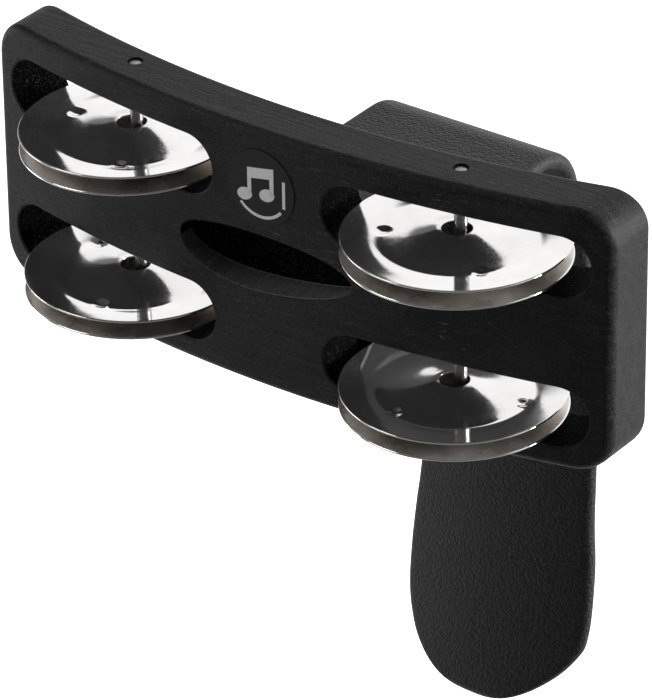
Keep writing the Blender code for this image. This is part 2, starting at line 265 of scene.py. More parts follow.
def ramp(nt, fac, stops, mode="LINEAR"):
    r = node(nt, "ShaderNodeValToRGB")
    cr = r.color_ramp
    cr.interpolation = mode
    while len(cr.elements) < len(stops):
        cr.elements.new(0.5)
    for e, (p, c) in zip(cr.elements, stops):
        e.position = p
        if not isinstance(c, (tuple, list)):
            c = (c, c, c)
        e.color = (c[0], c[1], c[2], 1.0)
    nt.links.new(fac, r.inputs["Fac"])
    return r.outputs["Color"]


def maprange(nt, v, a, b, c, d):
    m = node(nt, "ShaderNodeMapRange")
    m.inputs["From Min"].default_value = a
    m.inputs["From Max"].default_value = b
    m.inputs["To Min"].default_value = c
    m.inputs["To Max"].default_value = d
    nt.links.new(v, m.inputs["Value"])
    return m.outputs["Result"]


def math_node(nt, op, a, b=None):
    m = node(nt, "ShaderNodeMath", operation=op)
    for i, v in enumerate((a, b)):
        if v is None:
            continue
        if isinstance(v, (int, float)):
            m.inputs[i].default_value = v
        else:
            nt.links.new(v, m.inputs[i])
    return m.outputs[0]


def mix_color(nt, fac, a, b, mode="MIX"):
    m = node(nt, "ShaderNodeMix", data_type="RGBA", blend_type=mode)
    for sock, v in ((m.inputs[0], fac), (m.inputs[6], a), (m.inputs[7], b)):
        if isinstance(v, (int, float)):
            sock.default_value = v
        elif isinstance(v, tuple):
            sock.default_value = (v[0], v[1], v[2], 1.0)
        else:
            nt.links.new(v, sock)
    return m.outputs[2]


def bump(nt, bsdf, layers):
    """layers: (height socket, strength, distance in metres)."""
    normal = None
    for h, strength, dist in layers:
        b = node(nt, "ShaderNodeBump")
        b.inputs["Strength"].default_value = strength
        b.inputs["Distance"].default_value = dist
        nt.links.new(h, b.inputs["Height"])
        if normal is not None:
            nt.links.new(normal, b.inputs["Normal"])
        normal = b.outputs["Normal"]
    nt.links.new(normal, bsdf.inputs["Normal"])


def wood_material():
    mat, nt, b = new_material("stained_open_pore_wood")
    grain = noise(nt, coords(nt, (30.0, 560.0, 560.0)), 1.0, 4.0, 0.62, 0.25)
    cloud = noise(nt, coords(nt, (14.0, 70.0, 70.0)), 1.0, 3.0, 0.55)
    dash = noise(nt, coords(nt, (190.0, 2300.0, 2300.0)), 1.0, 2.0, 0.6)
    gate = noise(nt, coords(nt, (34.0, 190.0, 190.0)), 1.0, 2.0, 0.5)
    fine = noise(nt, coords(nt, (1500.0, 3600.0, 3600.0)), 1.0, 3.0, 0.65)
    base = ramp(nt, grain, [(0.32, (0.0075, 0.0073, 0.0076)), (0.68, (0.0200, 0.0196, 0.0202))])
    col = mix_color(nt, 1.0, base, ramp(nt, cloud, [(0.3, 0.82), (0.7, 1.18)]), "MULTIPLY")
    col = mix_color(nt, 1.0, col, ramp(nt, fine, [(0.34, 0.25), (0.50, 0.95), (0.68, 2.6)]), "MULTIPLY")
    pore_and_highlight = math_node(nt, "MULTIPLY", ramp(nt, dash, [(0.62, 0.0), (0.70, 1.0)]),
                     ramp(nt, gate, [(0.50, 0.0), (0.64, 1.0)]))
    dark = math_node(nt, "MULTIPLY", ramp(nt, dash, [(0.28, 1.0), (0.36, 0.0)]),
                     ramp(nt, gate, [(0.36, 1.0), (0.50, 0.0)]))
    # pores are painted light grey: a painted highlight standing in for light caught on their groove edges, besides
    # their sunken bump
    col = mix_color(nt, pore_and_highlight, col, (0.085, 0.082, 0.082))
    col = mix_color(nt, dark, col, (0.003, 0.003, 0.003))
    nt.links.new(col, b.inputs["Base Color"])
    rough = math_node(nt, "ADD", maprange(nt, grain, 0.25, 0.75, 0.40, 0.54),
                      math_node(nt, "MULTIPLY", dark, 0.3))
    nt.links.new(rough, b.inputs["Roughness"])
    b.inputs["Specular IOR Level"].default_value = 0.17
    height = math_node(nt, "SUBTRACT", math_node(nt, "MULTIPLY", grain, 0.6),
                       math_node(nt, "ADD", math_node(nt, "MULTIPLY", pore_and_highlight, 0.6), dark))
    bump(nt, b, [(height, 1.0, 0.00032), (fine, 0.9, 0.00012), (cloud, 0.25, 0.0004)])
    return mat


def shaded_cut_wood_material():
    mat, nt, b = new_material("routed_wall_wood_painted_shade")
    speck_and_glint = noise(nt, coords(nt, (1.0, 1.0, 1.0)), 2600.0, 3.0, 0.65)
    fuzz = noise(nt, coords(nt, (700.0, 2400.0, 2400.0)), 1.0, 3.0, 0.6)
    # near-black colour is painted shade for the slot and groove walls; the sparse bright specks are painted glints
    col = ramp(nt, speck_and_glint, [(0.50, (0.0008, 0.0008, 0.0008)), (0.59, (0.004, 0.004, 0.004)), (0.70, (0.085, 0.083, 0.083))])
    nt.links.new(col, b.inputs["Base Color"])
    nt.links.new(maprange(nt, fuzz, 0.3, 0.7, 0.55, 0.80), b.inputs["Roughness"])
    b.inputs["Specular IOR Level"].default_value = 0.02
    bump(nt, b, [(speck_and_glint, 1.0, 0.00030), (fuzz, 0.6, 0.00015)])
    return mat


def groove_floor_lit_material():
    mat, nt, b = new_material("milled_groove_floor_painted_light")
    lines = noise(nt, coords(nt, (1700.0, 90.0, 160.0)), 1.0, 3.0, 0.65)
    fuzz = noise(nt, coords(nt, (2400.0, 2400.0, 2400.0)), 1.0, 3.0, 0.65)
    # this grey, far lighter than the stained face, is painted light for the up-facing groove floor; the streaks are
    # milling marks
    col = ramp(nt, lines, [(0.3, (0.052, 0.0510, 0.0515)), (0.7, (0.120, 0.118, 0.119))])
    col = mix_color(nt, 1.0, col, ramp(nt, fuzz, [(0.32, 0.5), (0.50, 1.0), (0.72, 1.8)]), "MULTIPLY")
    nt.links.new(col, b.inputs["Base Color"])
    nt.links.new(maprange(nt, lines, 0.3, 0.7, 0.50, 0.68), b.inputs["Roughness"])
    b.inputs["Specular IOR Level"].default_value = 0.20
    bump(nt, b, [(lines, 0.8, 0.00022), (fuzz, 0.7, 0.00010)])
    return mat


def steel_material():
    mat, nt, b = new_material("polished_jingle_steel")
    # radius of the point on its disc; 40 is added on the side that looks into the gap, which is painted darker,
    # browner and less metallic as painted shade
    rad = node(nt, "ShaderNodeAttribute", attribute_name="disc_radius").outputs["Fac"]
    obj = coords(nt, (1.0, 1.0, 1.0))
    smear = noise(nt, obj, 90.0, 4.0, 0.6)
    speck = noise(nt, obj, 2400.0, 2.0, 0.6)
    comb = node(nt, "ShaderNodeCombineXYZ")
    nt.links.new(math_node(nt, "MULTIPLY", rad, 2.6), comb.inputs[0])
    turned = noise(nt, comb.outputs[0], 3.0, 4.0, 0.7)
    inner = maprange(nt, rad, 14.5, 17.0, 1.0, 0.0)
    gap_face_shade = maprange(nt, rad, 30.0, 36.0, 0.0, 1.0)
    col = ramp(nt, smear, [(0.35, (0.80, 0.79, 0.775)), (0.65, (0.88, 0.875, 0.865))])
    col = mix_color(nt, gap_face_shade, col, ramp(nt, smear, [(0.38, (0.46, 0.425, 0.39)), (0.62, (0.74, 0.70, 0.66))]))
    nt.links.new(col, b.inputs["Base Color"])
    nt.links.new(maprange(nt, gap_face_shade, 0.0, 1.0, 0.93, 0.70), b.inputs["Metallic"])
    rough = math_node(nt, "ADD", maprange(nt, smear, 0.3, 0.7, 0.05, 0.09),
                      math_node(nt, "MULTIPLY", inner, maprange(nt, speck, 0.35, 0.70, 0.0, 0.16)))
    rough = math_node(nt, "ADD", rough, math_node(nt, "MULTIPLY", gap_face_shade, maprange(nt, smear, 0.35, 0.65, 0.16, 0.30)))
    nt.links.new(rough, b.inputs["Roughness"])
    bump(nt, b, [(turned, 0.06, 0.00002), (smear, 0.10, 0.0002), (speck, 0.05, 0.00001)])
    return mat


def pin_material():
    mat, nt, b = new_material("drawn_pin_steel")
    v = coords(nt, (2600.0, 2600.0, 120.0))
    drawn = noise(nt, v, 1.0, 3.0, 0.6)
    blot = noise(nt, coords(nt, (1.0, 1.0, 1.0)), 900.0, 3.0, 0.6)
    nt.links.new(ramp(nt, blot, [(0.3, (0.20, 0.20, 0.20)), (0.7, (0.42, 0.415, 0.41))]), b.inputs["Base Color"])
    b.inputs["Metallic"].default_value = 1.0
    nt.links.new(maprange(nt, drawn, 0.3, 0.7, 0.22, 0.42), b.inputs["Roughness"])
    bump(nt, b, [(drawn, 0.25, 0.00003)])
    return mat


def sleeve_material():
    mat, nt, b = new_material("grained_black_sleeve")
    obj = coords(nt, (1.0, 1.0, 1.0))
    vor = node(nt, "ShaderNodeTexVoronoi", feature="F1")
    vor.inputs["Scale"].default_value = 1350.0
    warp = noise(nt, obj, 700.0, 2.0, 0.6)
    shift = node(nt, "ShaderNodeVectorMath", operation="MULTIPLY_ADD")
    nt.links.new(warp, shift.inputs[0])
    shift.inputs[1].default_value = (0.0010, 0.0010, 0.0010)
    nt.links.new(obj, shift.inputs[2])
    nt.links.new(shift.outputs[0], vor.inputs["Vector"])
    cell = vor.outputs["Distance"]
    grit = noise(nt, obj, 3300.0, 3.0, 0.70)
    cloud = noise(nt, obj, 60.0, 3.0, 0.55)
    base = ramp(nt, grit, [(0.32, (0.0065, 0.0065, 0.0068)), (0.50, (0.017, 0.017, 0.0175)), (0.70, (0.044, 0.044, 0.045))])
    # the grain cells are lighter in their middles and painted darker in the creases between them: painted shade,
    # besides their bump
    col = mix_color(nt, 1.0, base, ramp(nt, cell, [(0.15, 1.25), (0.65, 0.60)]), "MULTIPLY")
    col = mix_color(nt, 1.0, col, ramp(nt, cloud, [(0.3, 0.88), (0.7, 1.12)]), "MULTIPLY")
    nt.links.new(col, b.inputs["Base Color"])
    nt.links.new(maprange(nt, grit, 0.3, 0.7, 0.44, 0.62), b.inputs["Roughness"])
    b.inputs["Specular IOR Level"].default_value = 0.30
    b.inputs["Sheen Weight"].default_value = 0.05
    b.inputs["Sheen Roughness"].default_value = 0.5
    inv = math_node(nt, "SUBTRACT", 1.0, cell)
    bump(nt, b, [(inv, 0.9, 0.00022), (grit, 0.8, 0.00010), (cloud, 0.25, 0.0006)])
    return mat


def painted_material():
    mat, nt, b = new_material("black_painted_steel")
    obj = coords(nt, (1.0, 1.0, 1.0))
    peel = noise(nt, obj, 1300.0, 2.0, 0.5)
    wear = noise(nt, obj, 240.0, 5.0, 0.7)
    worn = ramp(nt, wear, [(0.66, 0.0), (0.74, 1.0)])
    nt.links.new(mix_color(nt, math_node(nt, "MULTIPLY", worn, 0.35), (0.012, 0.012, 0.012), (0.09, 0.088, 0.085)),
                 b.inputs["Base Color"])
    b.inputs["Metallic"].default_value = 0.25
    nt.links.new(maprange(nt, wear, 0.3, 0.75, 0.34, 0.52), b.inputs["Roughness"])
    bump(nt, b, [(peel, 0.35, 0.00005), (wear, 0.15, 0.00008)])
    return mat


def badge_material():
    mat, nt, b = new_material("badge_print_black")
    obj = coords(nt, (1.0, 1.0, 1.0))
    fine = noise(nt, obj, 2600.0, 3.0, 0.6)
    nt.links.new(ramp(nt, fine, [(0.3, (0.0045, 0.0045, 0.0048)), (0.75, (0.0085, 0.0085, 0.009))]),
                 b.inputs["Base Color"])
    nt.links.new(maprange(nt, fine, 0.3, 0.7, 0.42, 0.56), b.inputs["Roughness"])
    b.inputs["Specular IOR Level"].default_value = 0.30
    bump(nt, b, [(fine, 0.25, 0.00003)])
    return mat


def mark_material():
    mat, nt, b = new_material("badge_print_white")
    obj = coords(nt, (1.0, 1.0, 1.0))
    fine = noise(nt, obj, 3200.0, 3.0, 0.6)
    nt.links.new(ramp(nt, fine, [(0.3, (0.74, 0.74, 0.74)), (0.6, (0.93, 0.93, 0.93))]), b.inputs["Base Color"])
    nt.links.new(maprange(nt, fine, 0.3, 0.7, 0.45, 0.6), b.inputs["Roughness"])
    bump(nt, b, [(fine, 0.2, 0.00003)])
    return mat


wood = wood_material()
shaded_cut_wood = shaded_cut_wood_material()
groove_floor_painted_light = groove_floor_lit_material()
steel = steel_material()
pin_steel = pin_material()
sleeve_mat = sleeve_material()
painted = painted_material()
badge_black = badge_material()
badge_white = mark_material()


# -------------------------------------------------------------------- board
def rounded_rect(hx, hz, r, seg=12):
    pts = []
    for cx, cz, a0 in ((1, 1, 0), (-1, 1, 90), (-1, -1, 180), (1, -1, 270)):
        for k in range(seg + 1):
            a = math.radians(a0 + 90.0 * k / seg)
            pts.append((cx * (hx - r) + r * math.cos(a), cz * (hz - r) + r * math.sin(a)))
    return pts


def stadium(sx, sz, half_l, r, seg=24):
    pts = []
    s = half_l - r
    for k in range(seg + 1):
        a = -math.pi / 2 + math.pi * k / seg
        pts.append((sx + s + r * math.cos(a), sz + r * math.sin(a)))
    for k in range(seg + 1):
        a = math.pi / 2 + math.pi * k / seg
        pts.append((sx - s + r * math.cos(a), sz + r * math.sin(a)))
    return pts


def flare(f, g, steps=5):
    """(n, offset) along a wall through the board, eased by f in front and g behind."""
    rows = []
    for k in range(steps + 1):
        a = math.pi / 2 * k / steps
        rows.append((HALF_T - f + f * math.sin(a), f - f * math.cos(a)))
    back = []
    for k in reversed(range(steps + 1)):
        a = math.pi / 2 * k / steps
        back.append((-HALF_T + g - g * math.sin(a), g - g * math.cos(a)))
    return [(-HALF_T - 3.0, g)] + back + rows + [(HALF_T + 3.0, f)]


def make_board():
    verts = []
    rings = 0
    steps = 6
    rows = []
    for k in range(steps + 1):
        a = math.pi / 2 * k / steps
        rows.append((HALF_T - FRAME_EDGE + FRAME_EDGE * math.sin(a), FRAME_EDGE - FRAME_EDGE * math.cos(a)))
    rows = [(-n, o) for n, o in reversed(rows)] + rows
    for n, inset in rows:
        for x, z in rounded_rect(FRAME_HALF_L - inset, FRAME_H / 2 - inset, FRAME_CORNER - inset):
            verts.append((x, n, z))
        rings += 1
    per = len(verts) // rings
    board = clean(raw_object("board", verts, tube_faces(rings, per, 0)), 1e-5)

    cutters = []
    prof = flare(SLOT_EASE, 0.25)
    for sz in SLOT_Z:
        for s in (-1, 1):
            cv = []
            for n, off in prof:
                # the slot runs straight through the board, towards the centre of its arc
                k = (FRAME_R + n) / (FRAME_R + HALF_T)
                for x, z in stadium(s * SLOT_X, sz, SLOT_L / 2 + off, SLOT_H / 2 + off):
                    cv.append((x * k, n, z))
            m = len(cv) // len(prof)
            cutters.append(clean(raw_object("slot_cut", cv, tube_faces(len(prof), m, 0)), 1e-5))

    # lens shaped groove: crisp lower lip, soft upper lip, filleted back wall
    stations = 61
    gv = []
    per = None
    for i in range(stations):
        t = -1 + 2 * i / (stations - 1)
        q = 0.995 * math.sin(t * math.pi / 2)
        x = GROOVE_X + GROOVE_HALF_L * q
        root = math.sqrt(1 - q * q)
        up = 0.2 + GROOVE_UP * root
        lo = 0.2 - (GROOVE_DOWN - GROOVE_LEAN * x) * root
        nb = HALF_T - GROOVE_DEPTH + 3.6 * (x / 24.0) ** 2
        k = min(1.0, max(0.06, (up - lo) / 8.0))
        fl, fu, rb, rt = 0.35 * k, 1.2 * k, 0.35 * k, 1.2 * k
        loop = [(HALF_T + 3.0, lo - fl)]
        for j in range(5):
            a = math.pi / 2 * j / 4
            loop.append((HALF_T - fl + fl * math.cos(a), lo - fl + fl * math.sin(a)))
        for j in range(6):
            a = math.pi / 2 * j / 5
            loop.append((nb + rb - rb * math.sin(a), lo + rb - rb * math.cos(a)))
        for j in range(6):
            a = math.pi / 2 * j / 5
            loop.append((nb + rt - rt * math.cos(a), up - rt + rt * math.sin(a)))
        for j in range(7):
            a = math.pi / 2 * j / 6
            loop.append((HALF_T - fu + fu * math.sin(a), up + fu - fu * math.cos(a)))
        loop.append((HALF_T + 3.0, up + fu))
        per = len(loop)
        gv += [(x, n, z) for n, z in loop]
    cutters.append(clean(raw_object("groove_cut", gv, tube_faces(stations, per, 0)), 1e-5))
    subtract(board, cutters)

    bm = bmesh.new()
    bm.from_mesh(board.data)
    x = -84.0
    while x < 84.1:
        geom = list(bm.verts) + list(bm.edges) + list(bm.faces)
        bmesh.ops.bisect_plane(bm, geom=geom, dist=1e-5, plane_co=(x, 0, 0), plane_no=(1, 0, 0))
        x += 2.0
    for f in bm.faces:
        c = f.calc_center_median()
        inside = False
        for sz in SLOT_Z:
            for s in (-1, 1):
                k = (FRAME_R + c.y) / (FRAME_R + HALF_T)
                dx = max(0.0, abs(c.x / k - s * SLOT_X) - (SLOT_L / 2 - SLOT_H / 2))
                if math.hypot(dx, c.z - sz) < SLOT_H / 2 + 0.20:
                    inside = True
        f.material_index = 0
        # slot walls take the near-black wood painted with shade
        if inside:
            f.material_index = 1
        elif (abs(c.x - GROOVE_X) < 24.3 and -9.6 < c.z < 7.5 and c.y < HALF_T - 0.05
              and c.y > -HALF_T + 1.0):
            # up-facing floor faces get the lighter groove wood as painted light; the back wall and the soft upper lip
            # get the near-black wood as painted shade, rough and black
            f.material_index = 2 if f.normal.z > 0.25 else 1
    for v in bm.verts:
        v.co.y = arc_y(v.co.x, v.co.y)
    bmesh.ops.recalc_face_normals(bm, faces=bm.faces)
    bm.to_mesh(board.data)
    bm.free()
    for m in (wood, shaded_cut_wood, groove_floor_painted_light):
        board.data.materials.append(m)

    holes = []
    for s in (-1, 1):
        holes.append(tube("pin_cut", [(s * PIN_X, PIN_Y, PIN_HOLE_BOTTOM), (s * PIN_X, PIN_Y, 40.0)],
                          [PIN_HOLE_R, PIN_HOLE_R], 32))
    for z in SCREW_Z:
        for s in (-1, 1):
            holes.append(tube("screw_cut", [(s * SCREW_X, SCREW_TIP_Y - 0.4, z), (s * SCREW_X, 14.0, z)],
                              [SCREW_HOLE_R, SCREW_HOLE_R], 20))
    subtract(board, holes)
    board.data.transform(Matrix.Scale(MM, 4) @ Matrix.Translation(-ORIGIN))
    board.name = "frame_board"
    shade(board, 38)
    wn = board.modifiers.new("weighted", "WEIGHTED_NORMAL")
    wn.keep_sharp = True
    wn.weight = 80
    return board


def tube(name, points, radii, seg):
    """Raw closed tube through points, working millimetres, straight axis."""
    w = (Vector(points[-1]) - Vector(points[0])).normalized()
    u = w.orthogonal().normalized()
    v = w.cross(u)
    verts = []
    for p, r in zip(points, radii):
        for j in range(seg):
            a = 2 * math.pi * j / seg
            verts.append(Vector(p) + (u * math.cos(a) + v * math.sin(a)) * r)
    return clean(raw_object(name, verts, tube_faces(len(points), seg, 0)), 1e-6)


board = make_board()
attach(board, "instrument")
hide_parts("frame_body")


# --------------------------------------------------------------------- pins
for s, side in ((-1, "left"), (1, "right")):
    rows = [(PIN_BOTTOM, PIN_R - 0.35), (PIN_BOTTOM + 0.35, PIN_R), (PIN_TOP - 0.35, PIN_R),
            (PIN_TOP - 0.1, PIN_R - 0.12), (PIN_TOP, PIN_R - 0.4)]
    verts = []
    seg = 40
    for z, r in rows:
        for j in range(seg):
            a = 2 * math.pi * j / seg
            verts.append((s * PIN_X + r * math.cos(a), PIN_Y + r * math.sin(a), z))
    ob = part_object("pin_%s_turned" % side, verts, tube_faces(len(rows), seg, 0), pin_steel, 30)
    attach(ob, "instrument")
    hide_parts("pin_" + side)


# ------------------------------------------------------------------ jingles
def spline(xs, ys):
    """Smooth monotone-ish cubic through the points (finite difference tangents)."""
    xs = np.array(xs, float)
    ys = np.array(ys, float)
    m = np.zeros_like(ys)
    d = np.diff(ys) / np.diff(xs)
    m[0], m[-1] = d[0], d[-1]
    for i in range(1, len(xs) - 1):
        m[i] = 0.0 if d[i - 1] * d[i] < 0 else 0.5 * (d[i - 1] + d[i])

    def f(x):
        i = int(np.clip(np.searchsorted(xs, x) - 1, 0, len(xs) - 2))
        h = xs[i + 1] - xs[i]
        t = (x - xs[i]) / h
        t2, t3 = t * t, t * t * t
        return float((2 * t3 - 3 * t2 + 1) * ys[i] + (t3 - 2 * t2 + t) * h * m[i]
                     + (-2 * t3 + 3 * t2) * ys[i + 1] + (t3 - t2) * h * m[i + 1])
    return f


DISH = spline([p[0] for p in DISC_PROFILE], [p[1] for p in DISC_PROFILE])
SEG = 160
RADII = ([DISC_HOLE_R + 0.12, DISC_HOLE_R + 0.35]
         + [4.4 + (25.3 - 4.4) * i / 39 for i in range(40)] + [25.55, DISC_R - 0.28])


def make_disc(name, centre, sign, axis, bumps, seed, drift=(0.0, 0.0)):
    rng = np.random.RandomState(seed)
    ph = rng.uniform(0, 2 * math.pi, 4)
    w = Vector(axis).normalized()
    u = (Vector((1, 0, 0)) - w * w.x).normalized()
    v = w.cross(u)
    c = Vector(centre)
    half = DISC_T / 2
    nr = len(RADII)
    edge = [(DISC_R - 0.28 + 0.28 * math.sin(math.radians(q)), half * math.cos(math.radians(q)))
            for q in (30, 60, 90, 120, 150)]
    loop = [(DISC_HOLE_R, 0.0)] + [(r, half) for r in RADII] + edge + [(r, -half) for r in reversed(RADII)]
    verts = []
    rad = []
    base = [DISH(r) for r, _ in loop]
    for j in range(SEG):
        a = 2 * math.pi * j / SEG
        d = u * math.cos(a) + v * math.sin(a)
        wave = (0.020 * math.sin(2 * a + ph[0]) + 0.014 * math.sin(3 * a + ph[1])
                + 0.010 * math.sin(5 * a + ph[2]))
        for (r, off), h in zip(loop, base):
            h = h + wave * max(0.0, (r - 12.0) / 14.0) ** 2
            for ba in bumps:
                bx, by = 16.5 * math.cos(ba), 16.5 * math.sin(ba)
                q = math.hypot(r * math.cos(a) - bx, r * math.sin(a) - by) / 2.1
                if q < 1.0:
                    h -= 0.55 * (1 - q * q) ** 1.6
            # the hole and bowl sit slightly off the centre of the rim
            k = 1.0 - smooth_step((r - 16.0) / 8.0)
            verts.append(c + d * r + u * (drift[0] * k) + v * (drift[1] * k) + w * (sign * h + off))
            # faces that look into the gap get the +40 flag that the steel paints with shade
            rad.append(r + (40.0 if off * sign < 0 and r < DISC_R - 0.29 else 0.0))
    n = len(loop)
    faces = tube_faces(SEG, n, 0, closed=True)
    ob = raw_object(name, verts, faces, MM, ORIGIN)
    att = ob.data.attributes.new("disc_radius", "FLOAT", "POINT")
    att.data.foreach_set("value", np.array(rad, np.float32))
    bm = bmesh.new()
    bm.from_mesh(ob.data)
    bmesh.ops.recalc_face_normals(bm, faces=bm.faces)
    bm.to_mesh(ob.data)
    bm.free()
    ob.data.materials.append(steel)
    shade(ob, 60)
    return ob


for number, (key, (cx, cy, cz, tx, ty, hx, hy, b0)) in enumerate(sorted(DISC_PAIRS.items())):
    axis = Vector((-tx, -ty, 1.0)).normalized()
    bumps = [math.radians(b0 + 120.0 * k) for k in range(3)]
    top = make_disc("jingle_%s_top_dished" % key, (cx, cy, cz), 1, axis, bumps, 11 + number, (hx, hy))
    low = Vector((cx, cy, cz)) - axis * DISC_GAP
    other = [b + 0.9 for b in bumps]
    bottom = make_disc("jingle_%s_bottom_dished" % key, low, -1, axis, other, 31 + number, (hx, hy))
    for ob, level in ((top, "top"), (bottom, "bottom")):
        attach(ob, "%s_%s_jingle" % (key, level))
        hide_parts("jingle_%s_%s" % (key, level))


# ---------------------------------------------------------------- heel clip
BRIDGE_MID = CLIP_TOP - PAD_T / 2
BEND_MID = BEND_R_OUT - PAD_T / 2
BEND_Z = CLIP_TOP - BEND_R_OUT
LEG_TOP_Y = BEND_Y + BEND_MID * math.cos(math.radians(LEAN_DEG))
LEG_TOP_Z = BEND_Z + BEND_MID * math.sin(math.radians(LEAN_DEG))
SECTION_BLEND = 45.0


def neck_half_width(y):
    t = smooth_step((y - NECK_START) / (NECK_END - NECK_START))
    return (FLANGE_HALF_W + 2.0) + (BRIDGE_HALF_W - FLANGE_HALF_W - 2.0) * t


_tz = [-t[0] for t in TIP_OUTLINE]
LEFT_EDGE = spline([-40.0] + [80.0] + _tz, [-25.0, -25.0] + [t[1] for t in TIP_OUTLINE])
RIGHT_EDGE = spline([-40.0] + [80.0] + _tz, [25.0, 25.0] + [t[2] for t in TIP_OUTLINE])


def leg_edges(z):
    if z > -80.0:
        return -BRIDGE_HALF_W, BRIDGE_HALF_W
    return LEFT_EDGE(-z), RIGHT_EDGE(-z)


def leg_y(z):
    if z >= BELLY_Z:
        span = LEG_TOP_Z - BELLY_Z
        t = (LEG_TOP_Z - z) / span
        slope = math.tan(math.radians(LEAN_DEG)) * span
        rise = BELLY_Y - LEG_TOP_Y
        return LEG_TOP_Y + slope * t + (3 * rise - 2 * slope) * t * t + (slope - 2 * rise) * t ** 3
    return BELLY_Y - 0.5 * TIP_SLOPE / (BELLY_Z + 150.0) * (z - BELLY_Z) ** 2


def clip_path():
    out = []
    for y in np.arange(NECK_START, BEND_Y - 0.5, 1.6):
        out.append((float(y), BRIDGE_MID, 0.0, 1.0, 0.0, 0.0, neck_half_width(float(y))))
    steps = 22
    end = math.radians(90.0 - LEAN_DEG)
    for i in range(steps + 1):
        a = end * i / steps
        out.append((BEND_Y + BEND_MID * math.sin(a), BEND_Z + BEND_MID * math.cos(a),
                    math.sin(a), math.cos(a), 0.0, 0.0, BRIDGE_HALF_W))
    zs = list(np.arange(LEG_TOP_Z - 1.8, -139.0, -2.2)) + list(np.arange(-139.0, -161.2, -1.0))
    zs += [-161.6, -162.1, -162.5, -162.8, -163.0]
    for z in zs:
        z = float(z)
        c = smooth_step((LEG_TOP_Z - z) / SECTION_BLEND)
        slope = (leg_y(z + 0.5) - leg_y(z - 0.5))
        ln = math.hypot(1.0, slope)
        left, right = leg_edges(z)
        out.append((leg_y(z), z, 1.0 / ln, -slope / ln, c, (left + right) / 2, (right - left) / 2))
    return out


def strip_point(st, x, off):
    y, z, ny, nz, c, xc, hw = st
    ang = c * x / TONGUE_RL
    dy = c * x * x / (2 * TONGUE_RL)
    return (x - off * math.sin(ang) * ny, y + dy + off * ny * math.cos(ang), z + off * nz)


def sleeve_loop(st, thick, shrink, n_w=26, n_e=7, edge=1.9):
    """Pillow-edged section: flat faces that roll over into round sides."""
    h = thick / 2
    hw = max(0.5, st[6] - shrink)
    e = min(edge, hw * 0.9)
    xc = st[5]
    pts = []
    row = [-(hw - e) + 2 * (hw - e) * i / (n_w - 1) for i in range(n_w)]
    for x in row:
        pts.append(strip_point(st, xc + x, h))
    for j in range(1, n_e):
        a = math.pi / 2 - math.pi * j / n_e
        pts.append(strip_point(st, xc + hw - e + e * math.cos(a), h * math.sin(a)))
    for x in reversed(row):
        pts.append(strip_point(st, xc + x, -h))
    for j in range(1, n_e):
        a = math.pi / 2 + math.pi * (1 - j / n_e)
        pts.append(strip_point(st, xc - hw + e + e * math.cos(a), -h * math.sin(a) * -1))
    return pts


def make_sleeve():
    path = clip_path()
    verts = []
    # front mouth rolls in over the steel
    first = path[0]
    lip = [(0.9, 0.0), (0.35, 0.25), (0.0, 0.8)]
    rings = 0
    for inset, dy in lip:
        st = (first[0] + dy - 0.0,) + first[1:6] + (first[6],)
        verts += sleeve_loop(st, PAD_T - 2 * inset * 0.75, inset * 0.7)
        rings += 1
    end_z = path[-1][1]
    for st in path[1:]:
        # the padding thins as it rolls over the tip
        d = st[1] - end_z if st[1] < -150.0 else 99.0
        k = 1.0
        if d < 2.4:
            k = math.sqrt(max(0.02, 1 - ((2.4 - d) / 2.4) ** 2))
        verts += sleeve_loop(st, PAD_T * k, 0.0)
        rings += 1
    per = len(verts) // rings
    faces = tube_faces(rings, per, 0, cap_start=False, cap_end=True)
    inner_path = [s for s in path if s[1] > -160.0]
    inner = len(verts)
    for st in inner_path:
        verts += sleeve_loop(st, CAVITY_T, 2.2, edge=0.8)
    hole = tube_faces(len(inner_path), per, inner, cap_start=False, cap_end=True)
    faces += [tuple(reversed(f)) for f in hole]
    for j in range(per):
        k = (j + 1) % per
        faces.append((j, inner + j, inner + k, k))
    return part_object("clip_sleeve_padded", verts, faces, sleeve_mat, 50)


sleeve = make_sleeve()
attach(sleeve, "instrument")
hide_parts("clip_sleeve")

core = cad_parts["clip_core"]
core.data.materials.clear()
core.data.materials.append(painted)


